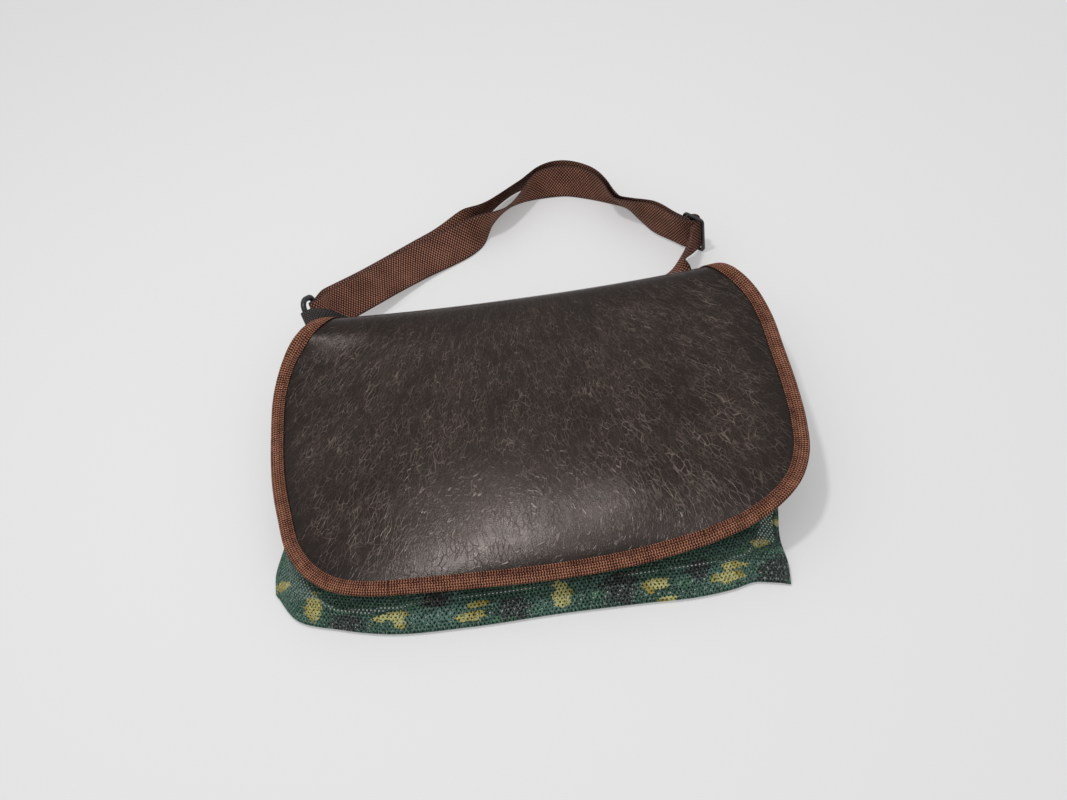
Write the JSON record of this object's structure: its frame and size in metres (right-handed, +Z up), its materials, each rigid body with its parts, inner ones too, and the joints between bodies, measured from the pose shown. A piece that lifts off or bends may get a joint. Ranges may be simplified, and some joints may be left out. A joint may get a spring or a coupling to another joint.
{
  "type": "hunting game bag",
  "caption": "Shoulder bag for game: leatherette flap folded over a camouflage net pouch, tape-bound edge, webbing strap with slider and D-rings, lying flat on its back.",
  "frame": {"origin": "on the flat underside of the back wall, below the middle of the flap, where the bag lies on a table", "axes": "+Z up from the surface that the bag lies on, +Y from the pouch's bottom to the crest with the strap, +X to the right seen from the pouch's bottom"},
  "size_m": [0.3933, 0.4636, 0.0622],
  "materials": {
    "leatherette": "semi-gloss, fine creased grain",
    "binding_tape": "ribbed woven tape",
    "camo_net": "printed knitted mesh",
    "tab_webbing": "matt woven",
    "black_plastic": "moulded, satin",
    "brown_webbing": "matt woven webbing"
  },
  "bodies": {
    "root": {"flap_and_back": "leatherette", "binding": "binding_tape", "net_pouch": "camo_net", "tab_left": "tab_webbing", "tab_right": "tab_webbing", "dring_left": "black_plastic", "dring_right": "black_plastic", "slider": "black_plastic", "strap": "brown_webbing"}
  },
  "joints": []
}
